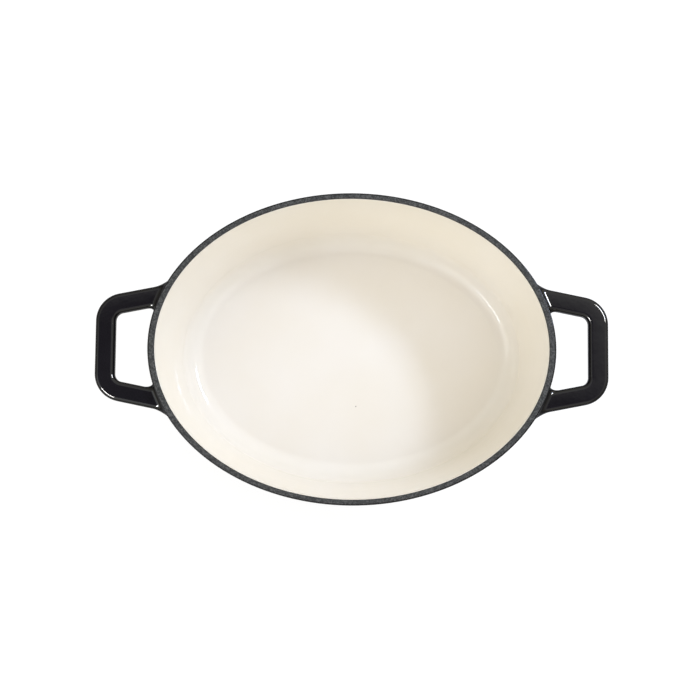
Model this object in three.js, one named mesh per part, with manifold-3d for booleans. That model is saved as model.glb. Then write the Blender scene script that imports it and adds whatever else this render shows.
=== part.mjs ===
// Oval casserole in enamelled cast iron: a drafted oval bowl with two flat loop handles near the rim.
// The iron is bare at the rim land and at the ground foot ring. Black enamel covers the outside and
// the handles, and cream enamel lines the inside. Millimetres, +Z up. The origin is the middle of the
// foot ring's ground face, and X runs from handle to handle.
import * as THREE from "three";
import { mergeVertices } from "three/addons/utils/BufferGeometryUtils.js";
import Module from "manifold-3d";

const wasm = await Module();
wasm.setup();

// Bowl
const rimLength = 290; // outside of the enamel at the rim, along X
const rimWidth = 222.5; // the same along Y
const potHeight = 95; // ground foot to rim land
const wallDraft = 9; // degrees that the wall leans outwards
const ironWall = 3.4; // at the long sides
const endThickening = 0.8; // extra iron in the wall at the two ends, which carry the handles
const ironFloor = 4.5;
const enamel = 0.5; // thickness of each glass coat
const rimRound = 0.8; // soft edges of the rim land, left free of enamel
const cornerInside = 16; // radius between floor and wall, on the cream enamel
const cornerOutside = 20; // radius between wall and underside, on the iron
const footHeight = 1.5;
const footWidth = 8;

// Loop handles
const handleReach = 38.2; // from the rim's end to the outer face of the bar
const handleSpan = 70.7; // over the arms, at the outer face of the bar
const handleSplay = 11.3; // degrees that each arm opens towards the bowl
const handleDrop = 7; // rim land to the handle's top face
const barWidth = 14.1;
const barThickness = 10;
const barRound = 3; // radius of the bar's long edges
const handleCorner = 13; // bend radius of the bar's centre line
const flareAcross = 9; // radius that blends each arm's sides into the wall
const flareUp = 5; // the same at its top and underside

// Fits and facets
const seatGap = 0.3; // between pieces that are cut to each other
const bondGap = 0.1; // between an enamel coat and its iron
const ovalSegments = 52;
const cornerSegments = 5;
const rimSegments = 2;
const bendSegments = 5;
const edgeSegments = 3;
const flareSegments = 4;
const slideHalvings = 40; // enough to place a point on the wall to within a mesh's precision

const draft = THREE.MathUtils.degToRad(wallDraft);
const splay = THREE.MathUtils.degToRad(handleSplay);
const ovalStretch = (rimLength - rimWidth) / 2; // how much longer than wide the outside is, per side
const cavityStretch = ovalStretch - endThickening; // the same inside the bowl
const undersideHeight = footHeight;
const floorHeight = footHeight + ironFloor;
const enamelTop = potHeight - rimRound;

// Short half-axis of the outer iron face at a height, and of a face that lies outside it by a distance.
function wallAt(height, outside = 0) {
  const enamelAtRim = enamel / Math.cos(draft);
  return rimWidth / 2 - enamelAtRim - (potHeight - height) * Math.tan(draft) + outside / Math.cos(draft);
}

// Outer face from the underside, round the bottom corner and up to the rim's soft edge.
function outerFace(outside) {
  const centreHeight = undersideHeight + cornerOutside;
  const centre = wallAt(centreHeight, -cornerOutside);
  const path = new THREE.Path();
  path.absarc(centre, centreHeight, cornerOutside + outside, -Math.PI / 2, -draft, false);
  path.lineTo(wallAt(enamelTop, outside), enamelTop);
  return path.getPoints(cornerSegments);
}

// Inner face from the rim's soft edge, down the wall and round the floor's corner to the middle.
function innerFace(inside) {
  const radius = cornerInside + enamel - inside;
  const centreHeight = floorHeight + cornerInside + enamel;
  const centre = wallAt(centreHeight, -ironWall - cornerInside - enamel);
  const path = new THREE.Path();
  path.moveTo(wallAt(enamelTop, -ironWall - inside), enamelTop);
  path.lineTo(centre + radius * Math.cos(draft), centreHeight - radius * Math.sin(draft));
  path.absarc(centre, centreHeight, radius, -draft, -Math.PI / 2, true);
  path.lineTo(0, floorHeight + inside);
  return path.getPoints(cornerSegments);
}

// Soft edge of the rim land on the outside, going up, and on the inside, going down.
function outerRimEdge() {
  const path = new THREE.Path();
  path.absarc(wallAt(enamelTop) - rimRound, enamelTop, rimRound, 0, Math.PI / 2, false);
  return path.getPoints(rimSegments).slice(1);
}

function innerRimEdge() {
  const path = new THREE.Path();
  path.absarc(wallAt(enamelTop, -ironWall) + rimRound, enamelTop, rimRound, Math.PI / 2, Math.PI, false);
  return path.getPoints(rimSegments).slice(0, -1);
}

const footOutside = wallAt(undersideHeight + cornerOutside, -cornerOutside);
const footInside = footOutside - footWidth;

// A revolved profile drawn out along X by a stretch at each end, so that each circle becomes an oval.
function revolveOval(profile, stretch = ovalStretch) {
  const geometry = new THREE.LatheGeometry(profile, ovalSegments);
  const position = geometry.getAttribute("position");
  const turns = geometry.getAttribute("uv");
  for (let i = 0; i < position.count; i += 1) {
    const onAxis = position.getX(i) === 0 && position.getZ(i) === 0; // stays one point, to merge exactly
    const angle = 2 * Math.PI * turns.getX(i);
    if (!onAxis) position.setX(i, position.getX(i) + stretch * Math.sin(angle));
  }
  return solidFrom(geometry.rotateX(Math.PI / 2));
}

// A closed mesh as a solid for cutting and joining.
function solidFrom(geometry) {
  geometry.deleteAttribute("normal");
  geometry.deleteAttribute("uv");
  const merged = mergeVertices(geometry);
  const corners = merged.index.array;
  const kept = [];
  for (let i = 0; i < corners.length; i += 3) {
    const [a, b, c] = corners.slice(i, i + 3);
    if (a !== b && b !== c && c !== a) kept.push(a, b, c);
  }
  return new wasm.Manifold(
    new wasm.Mesh({
      numProp: 3,
      vertProperties: merged.getAttribute("position").array,
      triVerts: new Uint32Array(kept),
    }),
  );
}

// Skins a row of rings with equal counts of points, each clockwise from the next one, and closes both ends.
function loft(rings) {
  const count = rings[0].length;
  const points = rings.flat();
  const faces = [];
  for (let ring = 0; ring + 1 < rings.length; ring += 1) {
    for (let i = 0; i < count; i += 1) {
      const here = ring * count + i;
      const next = ring * count + ((i + 1) % count);
      faces.push(here, next + count, next, here, here + count, next + count);
    }
  }
  const last = (rings.length - 1) * count;
  for (let i = 1; i + 1 < count; i += 1) {
    faces.push(0, i, i + 1, last, last + i + 1, last + i);
  }
  const geometry = new THREE.BufferGeometry().setFromPoints(points);
  geometry.setIndex(faces);
  return solidFrom(geometry);
}

// Rounded rectangle of the iron bar, as points about its middle and outward normals: x across and y up.
function barSection() {
  const round = barRound - enamel;
  const x = barWidth / 2 - barRound;
  const y = barThickness / 2 - barRound;
  const centres = [
    new THREE.Vector2(x, y),
    new THREE.Vector2(-x, y),
    new THREE.Vector2(-x, -y),
    new THREE.Vector2(x, -y),
  ];
  return centres.flatMap((centre, quarter) => {
    const points = [];
    for (let i = 0; i <= edgeSegments; i += 1) {
      const angle = (quarter + i / edgeSegments) * (Math.PI / 2);
      const normal = new THREE.Vector2(Math.cos(angle), Math.sin(angle));
      points.push({ at: centre.clone().addScaledVector(normal, round), normal });
    }
    return points;
  });
}

const handleMiddle = potHeight - handleDrop - barThickness / 2;
const barCentre = rimLength / 2 + handleReach - barWidth / 2;
const armCentreAtBar =
  handleSpan / 2 + (barWidth / 2) * Math.tan(splay) - barWidth / 2 / Math.cos(splay);

// Upper arm of the right-hand loop: its direction away from the bowl, and where its bend begins and turns.
const armOutward = new THREE.Vector2(Math.cos(splay), -Math.sin(splay));
const bendTurn = Math.PI / 2 - splay;
const bendTangent = handleCorner * Math.tan(bendTurn / 2);
const armEnd = new THREE.Vector2(barCentre, armCentreAtBar).addScaledVector(armOutward, -bendTangent);
const bendCentre = new THREE.Vector2(barCentre - handleCorner, armCentreAtBar - bendTangent);

// Distance of a point from the bowl's outer iron face, measured in plan along the wall's normal.
function clearOfWall({ x, y, z }) {
  const short = wallAt(z);
  const long = short + ovalStretch;
  const ratio = Math.hypot(x / long, y / short);
  const slope = Math.hypot(x / long ** 2, y / short ** 2) / ratio;
  return (ratio - 1) / slope;
}

// Point of the bar at a place on its centre line, for an offset across and up.
function barPoint(place, along, offset) {
  return new THREE.Vector3(
    place.x + along.y * offset.x,
    place.y - along.x * offset.x,
    handleMiddle + offset.y,
  );
}

// The same on the arm, slid along it until the point is at a distance from the wall.
function armPoint(offset, distance) {
  let near = 0;
  let far = rimLength / 2;
  let point;
  for (let halving = 0; halving < slideHalvings; halving += 1) {
    const back = (near + far) / 2;
    point = barPoint(armEnd.clone().addScaledVector(armOutward, -back), armOutward, offset);
    if (clearOfWall(point) > distance) near = back;
    else far = back;
  }
  return point;
}

// Rings of the loop's upper half, from inside the wall to the middle of the bar. The first ones lie along
// the wall and swell towards it, so that the arm runs into the wall with the flare's radius.
function halfLoop(outside) {
  const section = barSection();
  const ring = (swell, pointAt) =>
    section.map(({ at, normal }) => {
      const flare = flareUp + (flareAcross - flareUp) * normal.x ** 2;
      return pointAt(at.clone().addScaledVector(normal, flare * swell + outside), flare);
    });
  const rings = [ring(1, (offset, flare) => armPoint(offset, -flare))];
  for (let i = 0; i <= flareSegments; i += 1) {
    const angle = (i / flareSegments) * (Math.PI / 2);
    const pointAt = (offset, flare) => armPoint(offset, flare * (1 - Math.cos(angle)) + outside);
    rings.push(ring(1 - Math.sin(angle), pointAt));
  }
  for (let i = 0; i <= bendSegments; i += 1) {
    const angle = bendTurn * (1 - i / bendSegments);
    const radial = new THREE.Vector2(Math.cos(angle), Math.sin(angle));
    const place = bendCentre.clone().addScaledVector(radial, handleCorner);
    rings.push(ring(0, (offset) => barPoint(place, new THREE.Vector2(radial.y, -radial.x), offset)));
  }
  return rings;
}

// The loop whose faces lie outside its iron by a distance: the upper half and its mirror image.
function sweepHandle(outside) {
  const upper = halfLoop(outside);
  const lower = upper.map((ring) => ring.map(({ x, y, z }) => new THREE.Vector3(x, -y, z)));
  return loft([...upper, ...lower.reverse()]);
}

// Everything inside a face that lies outside the bowl's iron by a distance, as one plug up to the rim.
function bowlPlug(outside) {
  const face = outerFace(outside);
  const bottom = new THREE.Vector2(0, undersideHeight - outside);
  const top = new THREE.Vector2(wallAt(potHeight, outside), potHeight);
  return revolveOval([bottom, ...face, top, new THREE.Vector2(0, potHeight)]);
}

function mirrorX(solid) {
  return solid.mirror([1, 0, 0]);
}

// The casting as a solid block with its foot, hollowed from the rim down.
function bowlIron() {
  const block = revolveOval([
    new THREE.Vector2(0, undersideHeight),
    new THREE.Vector2(footInside, undersideHeight),
    new THREE.Vector2(footInside, 0),
    new THREE.Vector2(footOutside, 0),
    ...outerFace(0),
    ...outerRimEdge(),
    new THREE.Vector2(0, potHeight),
  ]);
  const landEdge = innerRimEdge();
  const aboveRim = potHeight + rimRound;
  const cavity = revolveOval(
    [
      ...[...landEdge, ...innerFace(0)].reverse(),
      new THREE.Vector2(landEdge[0].x, aboveRim),
      new THREE.Vector2(0, aboveRim),
    ],
    cavityStretch,
  );
  return block.subtract(cavity);
}

function linerEnamel() {
  const bonded = innerFace(bondGap);
  const surface = innerFace(enamel);
  return revolveOval([...bonded.reverse(), ...surface], cavityStretch);
}

function wallEnamel(handleThroughWall) {
  const bonded = outerFace(bondGap);
  const surface = outerFace(enamel);
  const coat = revolveOval([...surface, ...bonded.reverse(), surface[0]]);
  return coat.subtract(handleThroughWall).subtract(mirrorX(handleThroughWall));
}

function baseEnamel() {
  const edge = footInside - seatGap;
  return revolveOval([
    new THREE.Vector2(0, undersideHeight - enamel),
    new THREE.Vector2(edge, undersideHeight - enamel),
    new THREE.Vector2(edge, undersideHeight),
    new THREE.Vector2(0, undersideHeight),
  ]);
}

const handleIron = sweepHandle(0).subtract(bowlPlug(seatGap));
const handleEnamel = sweepHandle(enamel).subtract(sweepHandle(bondGap)).subtract(bowlPlug(enamel + seatGap));

const castIron = new THREE.MeshStandardMaterial({ color: 0x5c5d5c, roughness: 0.72, metalness: 0.35 });
const blackEnamel = new THREE.MeshStandardMaterial({ color: 0x0d0d0f, roughness: 0.12, metalness: 0 });
const creamEnamel = new THREE.MeshStandardMaterial({ color: 0xf0eade, roughness: 0.18, metalness: 0 });

// A solid as a named, shaded piece of the pot.
function piece(name, solid, material) {
  const { vertProperties, triVerts } = solid.getMesh();
  const geometry = new THREE.BufferGeometry();
  geometry.setAttribute("position", new THREE.BufferAttribute(vertProperties, 3));
  geometry.setIndex(new THREE.BufferAttribute(triVerts, 1));
  geometry.computeVertexNormals();
  const mesh = new THREE.Mesh(geometry, material);
  mesh.name = name;
  return mesh;
}

const casserole = new THREE.Group();
casserole.add(
  piece("bowl_iron", bowlIron(), castIron),
  piece("cream_lining", linerEnamel(), creamEnamel),
  piece("black_wall_coat", wallEnamel(sweepHandle(seatGap)), blackEnamel),
  piece("black_base_coat", baseEnamel(), blackEnamel),
  piece("right_handle_iron", handleIron, castIron),
  piece("right_handle_coat", handleEnamel, blackEnamel),
  piece("left_handle_iron", mirrorX(handleIron), castIron),
  piece("left_handle_coat", mirrorX(handleEnamel), blackEnamel),
);

export default casserole;
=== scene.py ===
import math

import bmesh
import bpy
from mathutils import Euler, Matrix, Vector


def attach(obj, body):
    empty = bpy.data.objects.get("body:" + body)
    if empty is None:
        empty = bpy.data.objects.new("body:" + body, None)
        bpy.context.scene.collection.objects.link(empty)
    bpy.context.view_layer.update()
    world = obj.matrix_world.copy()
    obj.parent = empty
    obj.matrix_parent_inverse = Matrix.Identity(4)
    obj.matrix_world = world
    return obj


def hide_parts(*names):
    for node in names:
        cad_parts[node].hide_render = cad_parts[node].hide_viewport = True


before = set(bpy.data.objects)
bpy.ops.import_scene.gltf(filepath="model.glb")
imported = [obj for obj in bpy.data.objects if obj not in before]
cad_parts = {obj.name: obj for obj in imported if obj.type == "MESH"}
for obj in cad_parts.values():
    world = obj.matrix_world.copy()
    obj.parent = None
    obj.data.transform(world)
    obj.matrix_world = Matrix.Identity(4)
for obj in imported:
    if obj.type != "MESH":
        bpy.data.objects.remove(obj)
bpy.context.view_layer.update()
print("frame loaded, nodes:", len(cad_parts))

mm = 0.001

# the pot's shape, shared by its iron and its coats, in mm as the frame has it
potShape = {
    "rimLength": 290,
    "rimWidth": 222.5,
    "height": 95,
    "draft": math.radians(9),
    "ironWall": 3.4,
    "endThickening": 0.8,  # extra iron in the wall at the two ends
    "floorHeight": 6,  # top of the iron floor
    "underside": 1.5,
    "enamel": 0.5,
    "bond": 0.1,  # gap between coat and iron
    "rimRound": 0.8,
    "cornerInside": 16,
    "cornerOutside": 20,
    "footWidth": 8,
    "around": 160,  # points in each oval
    "wallRings": (36, 52, 68, 82, 91),  # heights of the ovals along the straight wall
    "outsideSteps": 12,  # steps in the outer bend
    "insideSteps": 14,  # and in the inner one
    "rimSteps": 4,
    "discShares": (0.12, 0.4, 0.7),  # ovals across a flat face, as shares of its edge
}
stretch = (potShape["rimLength"] - potShape["rimWidth"]) / 2  # long half-axis less the short one
cavityStretch = stretch - potShape["endThickening"]  # the same inside the bowl
enamelTop = potShape["height"] - potShape["rimRound"]
meshCare = {"weld": 0.005 * mm, "sharpAngle": math.radians(50)}


def wallAt(height, outside=0):  # short half-axis of the outer iron face, or of a face outside it
    depth = potShape["height"] - height
    slant = (outside - potShape["enamel"]) / math.cos(potShape["draft"])
    return potShape["rimWidth"] / 2 - depth * math.tan(potShape["draft"]) + slant


bendHeight = potShape["underside"] + potShape["cornerOutside"]
footOutside = wallAt(bendHeight, -potShape["cornerOutside"])  # where the outer bend meets the underside


def arc(centre, height, radius, start, end, steps):  # points of a bend as (short half-axis, height)
    angles = [start + (end - start) * i / steps for i in range(steps + 1)]
    return [(centre + radius * math.cos(a), height + radius * math.sin(a)) for a in angles]


def outerProfile(outside):  # from the underside up to the rim's soft edge
    radius = potShape["cornerOutside"] + outside
    bend = arc(footOutside, bendHeight, radius, -math.pi / 2, -potShape["draft"], potShape["outsideSteps"])
    return bend + [(wallAt(z, outside), z) for z in (*potShape["wallRings"], enamelTop)]


def innerProfile(inside):  # from the rim's soft edge down to the floor's edge
    radius = potShape["cornerInside"] + potShape["enamel"] - inside
    height = potShape["floorHeight"] + potShape["cornerInside"] + potShape["enamel"]
    centre = wallAt(height, -potShape["ironWall"] - potShape["cornerInside"] - potShape["enamel"])
    heights = (enamelTop, *potShape["wallRings"][::-1])
    wall = [(wallAt(z, -potShape["ironWall"] - inside), z) for z in heights]
    return wall + arc(centre, height, radius, -potShape["draft"], -math.pi / 2, potShape["insideSteps"])


def clearSelection():
    if bpy.context.object and bpy.context.object.mode != "OBJECT":
        bpy.ops.object.mode_set(mode="OBJECT")
    bpy.ops.object.select_all(action="DESELECT")


def ovals(profile, longer=stretch):  # rings (long half-axis, short half-axis, height) of a profile
    return [(short + longer, short, height) for short, height in profile]


def disc(edge):  # rings of a flat face, from near its middle towards its edge ring
    long, short, height = edge
    return [(long * share, short * share, height) for share in potShape["discShares"]]


def turnOval(name, rings):  # an oval ring pulled through a row of sizes, closed with a face at each end
    clearSelection()
    bpy.ops.mesh.primitive_circle_add(vertices=potShape["around"], radius=mm, fill_type="NGON")
    piece = bpy.context.object
    piece.name = piece.data.name = name
    bpy.ops.object.mode_set(mode="EDIT")
    bpy.ops.mesh.select_all(action="SELECT")
    long, short, height = rings[0]
    bpy.ops.transform.resize(value=(long, short, 1), center_override=(0, 0, 0))
    bpy.ops.transform.translate(value=(0, 0, height * mm))
    for newLong, newShort, newHeight in rings[1:]:
        lift = (0, 0, (newHeight - height) * mm)
        bpy.ops.mesh.extrude_region_move(TRANSFORM_OT_translate={"value": lift})
        bpy.ops.transform.resize(value=(newLong / long, newShort / short, 1), center_override=(0, 0, 0))
        long, short, height = newLong, newShort, newHeight
    tidyFaces(piece)
    return piece


def tidyFaces(piece):  # faces outwards, and shading that leaves flats flat next to their rounded edges
    clearSelection()
    piece.select_set(True)
    bpy.context.view_layer.objects.active = piece
    bpy.ops.object.mode_set(mode="EDIT")
    bpy.ops.mesh.select_all(action="SELECT")
    bpy.ops.mesh.remove_doubles(threshold=meshCare["weld"])
    bpy.ops.mesh.normals_make_consistent(inside=False)
    bpy.ops.object.mode_set(mode="OBJECT")
    bpy.ops.object.shade_smooth_by_angle(angle=meshCare["sharpAngle"])
    bpy.ops.object.modifier_add(type="WEIGHTED_NORMAL")
    weighted = piece.modifiers[-1]
    weighted.keep_sharp = True
    bpy.ops.object.modifier_apply(modifier=weighted.name)


# finishes


class Link:  # a socket that takes part in Python sums
    def __init__(self, finish, socket):
        self.finish = finish
        self.socket = socket

    def sum(self, operation, first, second):
        return self.finish.node("ShaderNodeMath", {"operation": operation}, {0: first, 1: second})

    def __add__(self, other):
        return self.sum("ADD", self, other)

    def __radd__(self, other):
        return self.sum("ADD", other, self)

    def __sub__(self, other):
        return self.sum("SUBTRACT", self, other)

    def __rsub__(self, other):
        return self.sum("SUBTRACT", other, self)

    def __mul__(self, other):
        return self.sum("MULTIPLY", self, other)

    def __rmul__(self, other):
        return self.sum("MULTIPLY", other, self)

    def __lt__(self, other):
        return self.sum("LESS_THAN", self, other)


class Finish:  # a material, or the world, whose nodes are added one by one
    def __init__(self, owner, shader="Principled BSDF", place="Object"):
        owner.use_nodes = True
        self.owner = owner
        self.tree = owner.node_tree
        self.shader = self.tree.nodes[shader]
        self.place = self.node("ShaderNodeTexCoord", out=place)

    def node(self, kind, settings=None, sockets=None, out=0):
        made = self.tree.nodes.new(kind)
        for key, value in (settings or {}).items():
            if key == "stops":
                self.setStops(made.color_ramp, value)
            else:
                setattr(made, key, value)
        for key, value in (sockets or {}).items():
            self.feed(made.inputs[key], value)
        return Link(self, made.outputs[out])

    def setStops(self, ramp, stops):
        while len(ramp.elements) < len(stops):
            ramp.elements.new(1)
        for element, (position, colour) in zip(ramp.elements, stops):
            element.position = position
            element.color = colour

    def feed(self, socket, value):
        if isinstance(value, Link):
            self.tree.links.new(value.socket, socket)
        else:
            socket.default_value = value

    def noise(self, scale, detail=2, roughness=0.5, place=None):
        sockets = {"Vector": place or self.place, "Scale": scale, "Detail": detail, "Roughness": roughness}
        return self.node("ShaderNodeTexNoise", None, sockets, "Fac")

    def spread(self, value, low, high, newLow=0, newHigh=1):  # maps a range of values to another, clamped
        sockets = {"Value": value, "From Min": low, "From Max": high, "To Min": newLow, "To Max": newHigh}
        return self.node("ShaderNodeMapRange", None, sockets, "Result")

    def measure(self, operation, other):  # a number from the place and another vector
        vectors = {0: self.place, 1: other}
        return self.node("ShaderNodeVectorMath", {"operation": operation}, vectors, "Value")

    def blend(self, share, first, second):  # two colours mixed by a share, on the node's colour sockets
        return self.node("ShaderNodeMix", {"data_type": "RGBA"}, {"Factor": share, 6: first, 7: second}, 2)

    def bump(self, height, strength, distance):
        sockets = {"Height": height, "Strength": strength, "Distance": distance}
        return self.node("ShaderNodeBump", None, sockets)

    def set(self, **sockets):  # sockets of the shader, with _ for a space
        for key, value in sockets.items():
            self.feed(self.shader.inputs[key.replace("_", " ")], value)


def fromSrgb(red, green, blue):  # a colour as picked on screen, 0 to 255, for a node
    def linear(value):
        value = value / 255
        return value / 12.92 if value <= 0.04045 else ((value + 0.055) / 1.055) ** 2.4

    return (linear(red), linear(green), linear(blue), 1)


glassIor = 1.5
noiseRange = (0.3, 0.7)  # where most values of a noise lie

# scales are per metre, and a bump is its strength and its depth in metres
creamLook = {
    "cream": fromSrgb(245, 240, 231),
    "pooled": fromSrgb(243, 237, 225),  # where the glass lies a little thicker
    "poolScale": 14,
    "poolRange": (0.35, 0.7),
    "speck": fromSrgb(120, 105, 88),  # one dark grain in the floor
    "speckPlace": (3.5, -36.6, potShape["floorHeight"] + potShape["enamel"]),  # mm
    "speckRadius": 0.5 * mm,
    "speckCore": 0.6,  # share of its radius that is fully dark
    "speckDullness": 0.3,
    "rippleScale": 60,
    "fineScale": 420,
    "fineShare": 0.15,
    "bump": (0.12, 0.0006),
    "glossScale": 35,
    "roughness": (0.06, 0.1),
    "coat": 0.15,
    "coatRoughness": 0.04,
}


def creamEnamelFinish():
    look = creamLook
    finish = Finish(bpy.data.materials.new("creamEnamel"))
    pools = finish.spread(finish.noise(look["poolScale"], detail=3), *look["poolRange"])
    colour = finish.blend(pools, look["cream"], look["pooled"])
    near = finish.measure("DISTANCE", Vector(look["speckPlace"]) * mm)
    speck = finish.spread(near, look["speckCore"] * look["speckRadius"], look["speckRadius"], 1, 0)
    colour = finish.blend(speck, colour, look["speck"])
    ripple = finish.noise(look["rippleScale"]) + look["fineShare"] * finish.noise(look["fineScale"], detail=1)
    gloss = finish.spread(finish.noise(look["glossScale"], detail=3), *noiseRange, *look["roughness"])
    finish.set(
        Base_Color=colour,
        Roughness=gloss + look["speckDullness"] * speck,
        Normal=finish.bump(ripple, *look["bump"]),
        IOR=glassIor,
        Coat_Weight=look["coat"],
        Coat_Roughness=look["coatRoughness"],
    )
    return finish.owner


blackLook = {
    "black": fromSrgb(14, 13, 16),
    "worn": fromSrgb(20, 19, 22),
    "wearScale": 40,
    "wearRange": (0.4, 0.75),
    "peelScale": 260,
    "waveScale": 70,
    "waveShare": 1.6,
    "bump": (0.1, 0.0004),
    "glossScale": 120,
    "roughness": (0.04, 0.08),
    "specular": 0.36,
}


def blackEnamelFinish():
    look = blackLook
    finish = Finish(bpy.data.materials.new("blackEnamel"))
    wear = finish.spread(finish.noise(look["wearScale"], detail=4), *look["wearRange"])
    peel = finish.noise(look["peelScale"]) + look["waveShare"] * finish.noise(look["waveScale"], detail=1)
    gloss = finish.noise(look["glossScale"], detail=3)
    finish.set(
        Base_Color=finish.blend(wear, look["black"], look["worn"]),
        Roughness=finish.spread(gloss, *noiseRange, *look["roughness"]),
        Normal=finish.bump(peel, *look["bump"]),
        IOR=glassIor,
        Specular_IOR_Level=look["specular"],
    )
    return finish.owner


baseLook = {
    "black": fromSrgb(24, 24, 25),
    "dusty": fromSrgb(46, 45, 44),
    "dustScale": 30,
    "dustRange": (0.45, 0.8),
    "grainScale": 900,
    "bump": (0.18, 0.0003),
    "roughness": (0.34, 0.5),
}


def baseEnamelFinish():
    look = baseLook
    finish = Finish(bpy.data.materials.new("baseEnamel"))
    dust = finish.spread(finish.noise(look["dustScale"], detail=5, roughness=0.6), *look["dustRange"])
    grain = finish.noise(look["grainScale"], detail=3, roughness=0.6)
    finish.set(
        Base_Color=finish.blend(dust, look["black"], look["dusty"]),
        Roughness=finish.spread(grain, *noiseRange, *look["roughness"]),
        Normal=finish.bump(grain, *look["bump"]),
        IOR=glassIor,
    )
    return finish.owner


ironLook = {
    "mottle": [(0.4, fromSrgb(36, 37, 38)), (0.5, fromSrgb(60, 61, 61)), (0.62, fromSrgb(94, 94, 93))],
    "blotchScale": 95,
    "blotchShare": 0.12,  # of the mottle, the rest is grain
    "grainScale": 900,
    "bump": (0.25, 0.0003),
    "blotchBump": 0.6,
    "roughness": (0.55, 0.78),
    "metal": 0.25,
    "ground": fromSrgb(150, 149, 146),  # foot ring, cut flat by the grinder
    "footHeight": 0.9 * mm,
    "scratchStretch": (40, 900, 1),
    "scratchScale": 1.5,
    "scratchRange": (0.3, 0.6),
    "groundPolish": 0.2,
    "groundMetal": 0.5,
}


def bareIronFinish():
    look = ironLook
    finish = Finish(bpy.data.materials.new("bareIron"))
    blotch = finish.noise(look["blotchScale"], detail=5, roughness=0.62)
    grain = finish.noise(look["grainScale"], detail=4, roughness=0.65)
    mottle = look["blotchShare"] * blotch + (1 - look["blotchShare"]) * grain
    colour = finish.node("ShaderNodeValToRGB", {"stops": look["mottle"]}, {"Fac": mottle}, "Color")
    height = finish.node("ShaderNodeSeparateXYZ", None, {0: finish.place}, "Z")
    ground = height < look["footHeight"]
    drawn = {"Vector": finish.place, "Scale": look["scratchStretch"]}
    stretched = finish.node("ShaderNodeMapping", None, drawn)
    scratches = finish.noise(look["scratchScale"], detail=3, roughness=0.6, place=stretched)
    colour = finish.blend(ground * finish.spread(scratches, *look["scratchRange"]), colour, look["ground"])
    dull = finish.spread(grain, *noiseRange, *look["roughness"])
    finish.set(
        Base_Color=colour,
        Roughness=dull - look["groundPolish"] * ground,
        Metallic=look["metal"] + look["groundMetal"] * ground,
        Normal=finish.bump(grain + look["blotchBump"] * blotch, *look["bump"]),
    )
    return finish.owner


looks = {
    "cast_iron": bareIronFinish(),
    "cream_enamel": creamEnamelFinish(),
    "black_enamel": blackEnamelFinish(),
    "base_enamel": baseEnamelFinish(),
}
print("finishes ready:", ", ".join(looks))


def settle(piece, slot, *nodes):  # gives a piece its finish, its body and the CAD nodes that it stands for
    piece.data.materials.clear()
    piece.data.materials.append(looks[slot])
    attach(piece, "root")
    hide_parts(*nodes)


# bowl and its coats

footShape = {"edge": 0.5}  # soft edges of the ground ring, mm


def makeBowlIron():
    under = potShape["underside"]
    inside = footOutside - potShape["footWidth"]
    edge = footShape["edge"]
    foot = [(inside, edge), (inside + edge, 0), (footOutside - edge, 0), (footOutside, edge)]
    soft = potShape["rimRound"]
    steps = potShape["rimSteps"]
    outerEdge = arc(wallAt(enamelTop) - soft, enamelTop, soft, 0, math.pi / 2, steps)
    innerCentre = wallAt(enamelTop, -potShape["ironWall"]) + soft
    innerEdge = arc(innerCentre, enamelTop, soft, math.pi / 2, math.pi, steps)
    outer = ovals([(inside, under)] + foot + outerProfile(0) + outerEdge[1:])
    inner = ovals(innerEdge[:-1] + innerProfile(0), cavityStretch)
    bowl = turnOval("bowlIron", disc(outer[0]) + outer + inner + disc(inner[-1])[::-1])
    settle(bowl, "cast_iron", "bowl_iron")


liningShape = {"lip": 0.18}  # round of the coat's top edge, mm


def makeCreamLining():
    lip = liningShape["lip"]
    bonded = [(short, min(height, enamelTop - lip)) for short, height in innerProfile(potShape["bond"])]
    surface = [(short, min(height, enamelTop - lip)) for short, height in innerProfile(potShape["enamel"])]
    top = [(bonded[0][0] - lip / 2, enamelTop), (surface[0][0] + lip, enamelTop)]
    skin = ovals(bonded[::-1] + top + surface, cavityStretch)
    lining = turnOval("creamLining", disc(skin[0]) + skin + disc(skin[-1])[::-1])
    settle(lining, "cream_enamel", "cream_lining")


coatShape = {
    "wrap": math.radians(65),  # reach over the rim's outer round
    "wrapSteps": 7,
    "edge": 0.05,  # thickness left at the coat's edge, mm
}


def rimWrap(thick):  # the coat over the rim's outer round, thinning to its edge
    soft = potShape["rimRound"]
    centre = wallAt(enamelTop) - soft
    points = []
    for step in range(1, coatShape["wrapSteps"] + 1):
        share = step / coatShape["wrapSteps"]
        radius = soft + thick * (1 - share) + coatShape["edge"] * share * thick / potShape["enamel"]
        angle = coatShape["wrap"] * share
        points.append((centre + radius * math.cos(angle), enamelTop + radius * math.sin(angle)))
    return points


def makeWallCoat():
    up = outerProfile(potShape["enamel"]) + rimWrap(potShape["enamel"])
    down = (outerProfile(potShape["bond"]) + rimWrap(potShape["bond"]))[::-1]
    coat = turnOval("wallCoat", ovals(up + down + [up[0]]))
    closeSeam(coat)
    settle(coat, "black_enamel", "black_wall_coat")


def closeSeam(piece):  # a hoop starts and ends on the same oval: drops both end faces and welds them
    bpy.ops.object.mode_set(mode="EDIT")
    bpy.ops.mesh.select_all(action="DESELECT")
    mesh = bmesh.from_edit_mesh(piece.data)
    for face in mesh.faces:
        face.select = len(face.verts) > 4  # all others are quads
    bmesh.update_edit_mesh(piece.data)
    bpy.ops.mesh.delete(type="ONLY_FACE")
    tidyFaces(piece)


baseShape = {"clear": 0.3, "edge": 0.15}  # gap to the foot ring and soft lower edge, mm


def makeBaseCoat():
    under = potShape["underside"]
    rim = footOutside - potShape["footWidth"] - baseShape["clear"]
    low = under - potShape["enamel"]
    edge = baseShape["edge"]
    side = ovals([(rim - edge, low), (rim, low + edge), (rim, under)])
    coat = turnOval("baseCoat", disc(side[0]) + side + disc(side[-1])[::-1])
    settle(coat, "base_enamel", "black_base_coat")


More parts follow.
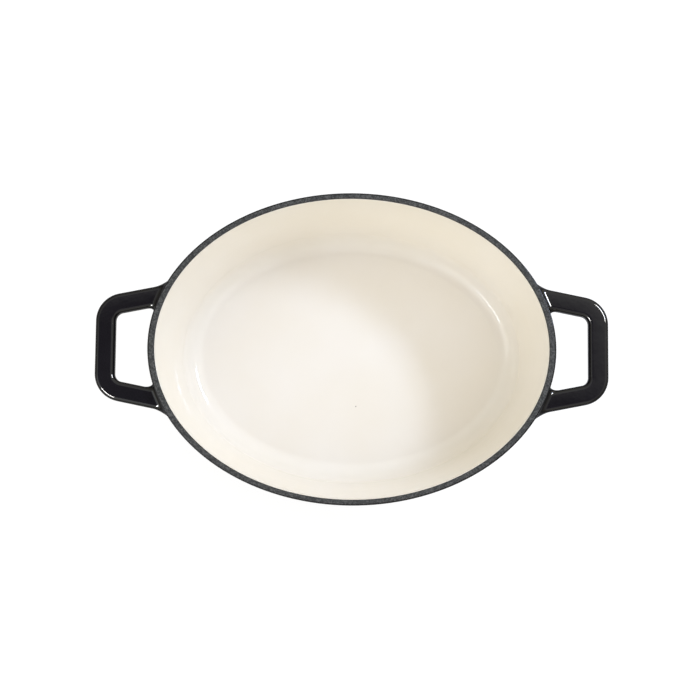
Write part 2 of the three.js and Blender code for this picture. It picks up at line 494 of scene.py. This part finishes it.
makeBowlIron()
makeCreamLining()
makeWallCoat()
makeBaseCoat()
print("bowl and coats made")

# loop handles

handleShape = {
    "reach": 38.2,  # from the rim's end to the bar's outer face
    "span": 70.7,  # over the arms, at the bar
    "splay": math.radians(11.3),
    "drop": 7,  # from the rim down to the handle's top
    "width": 14.1,
    "thickness": 10,
    "round": 3,
    "corner": 13,
    "flareAcross": 9,  # radius that blends an arm's sides into the wall
    "flareUp": 5,  # the same at its top and underside
    "sunk": 3,  # how deep the root goes into the wall
    "roundSteps": 5,
    "bendSteps": 16,
    "flareSteps": 10,
    "halvings": 36,  # tries to find the wall along an arm
    "weld": 0.01,  # where the mirrored halves meet
}


def wallDistance(point):  # how far a point in mm is from the wall's enamel, in plan
    short = wallAt(point.z, potShape["enamel"])
    long = short + stretch
    ratio = math.hypot(point.x / long, point.y / short)
    slope = math.hypot(point.x / long**2, point.y / short**2) / ratio
    return (ratio - 1) / slope


def slideToWall(point, outward, distance):  # moves a point along the arm until it is that far from the wall
    near, far = 0, potShape["rimLength"] / 2
    for _ in range(handleShape["halvings"]):
        back = (near + far) / 2
        if wallDistance(point - outward * back) > distance:
            near = back
        else:
            far = back
    return point - outward * far


def makeHandle():
    shape = handleShape
    halfWidth, halfThick = shape["width"] / 2, shape["thickness"] / 2
    splay = shape["splay"]
    middle = potShape["height"] - shape["drop"] - halfThick
    barX = potShape["rimLength"] / 2 + shape["reach"] - halfWidth
    armY = shape["span"] / 2 + halfWidth * math.tan(splay) - halfWidth / math.cos(splay)
    turn = math.pi / 2 - splay
    tangent = shape["corner"] * math.tan(turn / 2)
    bendY = armY - tangent
    outward = Vector((math.cos(splay), -math.sin(splay), 0))
    across = Vector((math.sin(splay), math.cos(splay), 0))
    armStart = Vector((barX, armY, middle)) - outward * tangent

    clearSelection()  # section at the middle of the bar
    bpy.ops.mesh.primitive_plane_add(size=1, rotation=(math.pi / 2, 0, 0), location=(0, 0, 0))
    handle = bpy.context.object
    handle.name = handle.data.name = "rightHandleCoat"
    bpy.ops.object.transform_apply(location=True, rotation=True, scale=True)
    bpy.ops.object.mode_set(mode="EDIT")
    bpy.ops.mesh.select_all(action="SELECT")
    sectionSize = (shape["width"] * mm, 1, shape["thickness"] * mm)
    bpy.ops.transform.resize(value=sectionSize, center_override=(0, 0, 0))
    bpy.ops.mesh.bevel(offset=shape["round"] * mm, segments=shape["roundSteps"], affect="VERTICES")
    bpy.ops.mesh.select_all(action="SELECT")
    bpy.ops.transform.translate(value=(barX * mm, 0, middle * mm))
    bpy.ops.mesh.extrude_region_move(TRANSFORM_OT_translate={"value": (0, bendY * mm, 0)})
    bendCentre = ((barX - shape["corner"]) * mm, bendY * mm, middle * mm)
    bpy.ops.mesh.spin(steps=shape["bendSteps"], angle=-turn, center=bendCentre, axis=(0, 0, 1))

    core = Vector((halfWidth - shape["round"], halfThick - shape["round"]))
    for step in range(shape["flareSteps"], -2, -1):  # root rings, which swell as they near the wall
        angle = max(step, 0) / shape["flareSteps"] * math.pi / 2
        bpy.ops.mesh.extrude_region_move(TRANSFORM_OT_translate={"value": -outward * mm})
        mesh = bmesh.from_edit_mesh(handle.data)
        for vert in [v for v in mesh.verts if v.select]:
            spot = vert.co / mm
            offset = Vector(((spot - armStart).dot(across), spot.z - middle))
            inner = Vector((max(-core.x, min(core.x, offset.x)), max(-core.y, min(core.y, offset.y))))
            normal = (offset - inner).normalized()
            flare = shape["flareUp"] + (shape["flareAcross"] - shape["flareUp"]) * normal.x**2
            offset = inner + normal * (shape["round"] + flare * (1 - math.sin(angle)))
            fromWall = flare * (1 - math.cos(angle)) if step >= 0 else -shape["sunk"]
            spot = armStart + across * offset.x + Vector((0, 0, offset.y))
            vert.co = slideToWall(spot, outward, fromWall) * mm
        bmesh.update_edit_mesh(handle.data)

    weld = shape["weld"] * mm
    mesh = bmesh.from_edit_mesh(handle.data)  # opens the bar's middle for the mirror
    for face in mesh.faces:
        face.select = abs(face.calc_center_median().y) < weld and abs(face.normal.y) > 0.9
    bmesh.update_edit_mesh(handle.data)
    bpy.ops.mesh.delete(type="ONLY_FACE")
    bpy.ops.object.mode_set(mode="OBJECT")
    bpy.ops.object.modifier_add(type="MIRROR")
    mirror = handle.modifiers[-1]
    mirror.use_axis = (False, True, False)
    mirror.merge_threshold = weld
    bpy.ops.object.modifier_apply(modifier=mirror.name)
    tidyFaces(handle)
    return handle


def mirrorHandle(handle):
    clearSelection()
    handle.select_set(True)
    bpy.context.view_layer.objects.active = handle
    bpy.ops.object.duplicate(linked=False)
    other = bpy.context.object
    other.name = other.data.name = "leftHandleCoat"
    bpy.ops.transform.resize(value=(-1, 1, 1), center_override=(0, 0, 0))
    bpy.ops.object.transform_apply(location=True, rotation=True, scale=True)
    tidyFaces(other)
    return other


rightHandle = makeHandle()
leftHandle = mirrorHandle(rightHandle)
settle(rightHandle, "black_enamel", "right_handle_coat")
settle(leftHandle, "black_enamel", "left_handle_coat")
for node in ("right_handle_iron", "left_handle_iron"):
    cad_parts[node].data.materials.clear()
    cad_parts[node].data.materials.append(looks["cast_iron"])
print("handles made")

# stage, light and camera

stageLook = {
    "floor": (0.25, 0.25, 0.25, 1),
    "floorRoughness": 0.9,
    "floorSize": 8,  # metres
    "floorDrop": 0.1 * mm,  # keeps it just clear of the foot's face
    "seenGlow": 0.84,  # the white that the camera sees in the floor before any light falls on it
    "mirroredGlow": 0.1,  # and that gloss shows of it
    "unlit": (0, 0, 0, 1),
    "white": (1, 1, 1, 1),
    "dome": (1.24, 1.23, 1.2, 1),
    "band": (1.35, 1.29, 1.06, 1),  # a low band of sky that lights the inside of the wall
    "bandFoot": (0.1, 0.2),
    "bandTop": (0.45, 0.6),
    "side": (0.2, 0.17, 0.1, 1),  # to the back left and front right, away from the lamps
    "sideWay": (-0.766, 0.643, 0),
    "low": (0.15, 0.15, 0.15, 1),  # near the horizon
    "top": (0.22, 0.2, 0.25, 1),  # a dark patch overhead, leaning to the front and a little left
    "topLean": (-0.14, -0.46, 1),
    "topReach": (math.radians(31), math.radians(39)),  # where the patch begins and ends to fade
}


def makeFloor():
    clearSelection()
    place = (0, 0, -stageLook["floorDrop"])
    bpy.ops.mesh.primitive_plane_add(size=stageLook["floorSize"], location=place)
    floor = bpy.context.object
    floor.name = floor.data.name = "floor"
    finish = Finish(bpy.data.materials.new("paleFloor"))
    finish.set(Base_Color=stageLook["floor"], Roughness=stageLook["floorRoughness"])
    seen = finish.node("ShaderNodeLightPath", out="Is Camera Ray")
    mirrored = finish.node("ShaderNodeLightPath", out="Is Glossy Ray")
    glow = stageLook["seenGlow"] * seen + stageLook["mirroredGlow"] * mirrored
    glowColour = finish.blend(glow, stageLook["unlit"], stageLook["white"])
    finish.set(Emission_Color=glowColour, Emission_Strength=1)
    floor.data.materials.append(finish.owner)


def makeWorld():
    world = bpy.data.worlds.new("studio")
    sky = Finish(world, "Background", "Generated")
    height = sky.node("ShaderNodeSeparateXYZ", None, {0: sky.place}, "Z")
    side = sky.measure("DOT_PRODUCT", stageLook["sideWay"])
    colour = sky.blend(sky.spread(height, *stageLook["bandTop"]), stageLook["band"], stageLook["dome"])
    colour = sky.blend(side * side, colour, stageLook["side"])
    colour = sky.blend(sky.spread(height, *stageLook["bandFoot"]), stageLook["low"], colour)
    fadeStart, fadeEnd = (math.cos(angle) for angle in stageLook["topReach"])
    overhead = sky.measure("DOT_PRODUCT", Vector(stageLook["topLean"]).normalized())
    colour = sky.blend(sky.spread(overhead, fadeEnd, fadeStart), colour, stageLook["top"])
    seen = sky.node("ShaderNodeLightPath", out="Is Camera Ray")
    sky.set(Color=sky.blend(seen, colour, stageLook["white"]), Strength=1)
    bpy.context.scene.world = world


lamps = {  # azimuth from +X towards +Y and elevation in degrees, size in metres, watts, colour
    "keyRight": {"place": (28, 42), "size": (0.5, 0.2), "power": 10.7, "colour": (0.62, 0.74, 1)},
    "fillLeft": {"place": (214, 39), "size": (0.5, 0.08), "power": 2.4, "colour": (0.8, 0.88, 1)},
    "panelLeft": {"place": (212, 44), "size": (1.5, 1), "power": 5.4, "colour": (0.85, 0.91, 0.95)},
    "panelFront": {"place": (270, 50), "size": (2, 1.5), "power": 6.4, "colour": (1, 0.98, 0.9)},
    "glintRight": {"place": (28, 50), "size": (0.5, 0.2), "power": 30, "colour": (1, 0.98, 0.94)},
    "glintLeft": {"place": (216, 47), "size": (0.6, 0.24), "power": 42, "colour": (1, 0.98, 0.94)},
}
lampDistance = 1.6  # metres from the middle of the pot's foot
mirroredLamps = ("fillLeft", "glintRight", "glintLeft")  # seen in gloss alone
glintLamps = ("glintRight", "glintLeft")  # and these in the handles' gloss alone
handleCoats = bpy.data.collections.new("handleCoats")
for piece in (rightHandle, leftHandle):
    handleCoats.objects.link(piece)


def makeLamp(name, lamp):
    azimuth, elevation = (math.radians(angle) for angle in lamp["place"])
    level = math.cos(elevation)
    way = Vector((math.cos(azimuth) * level, math.sin(azimuth) * level, math.sin(elevation)))
    clearSelection()
    bpy.ops.object.light_add(type="AREA", location=way * lampDistance)
    light = bpy.context.object
    light.name = name
    light.rotation_euler = way.to_track_quat("Z", "Y").to_euler()
    light.data.shape = "RECTANGLE"
    light.data.size, light.data.size_y = lamp["size"]
    light.data.energy = lamp["power"]
    light.data.color = lamp["colour"]
    light.visible_diffuse = name not in mirroredLamps
    if name in glintLamps:
        light.light_linking.receiver_collection = handleCoats


view = {
    "aim": (-1.3, -1.6, 95),  # mm, near the middle of the rim
    "distance": 1050,
    "elevation": 84.6,
    "roll": 0.5,
    "pixelsPerMm": 1.4135,  # at the rim
    "frame": 700,
    "sensor": 36,
}


def makeCamera():
    tilt = math.radians(90 - view["elevation"])
    toCamera = Vector((0, -math.sin(tilt), math.cos(tilt)))
    clearSelection()
    bpy.ops.object.camera_add(location=(Vector(view["aim"]) + toCamera * view["distance"]) * mm)
    camera = bpy.context.object
    turned = Euler((tilt, 0, 0)).to_matrix() @ Euler((0, 0, math.radians(view["roll"]))).to_matrix()
    camera.rotation_euler = turned.to_euler()
    camera.data.sensor_width = view["sensor"]
    camera.data.lens = view["pixelsPerMm"] * view["distance"] * view["sensor"] / view["frame"]
    bpy.context.scene.camera = camera


makeFloor()
makeWorld()
for name, lamp in lamps.items():
    makeLamp(name, lamp)
makeCamera()
bpy.context.scene.view_settings.view_transform = "Standard"
print("stage, lamps and camera set")

clearSelection()
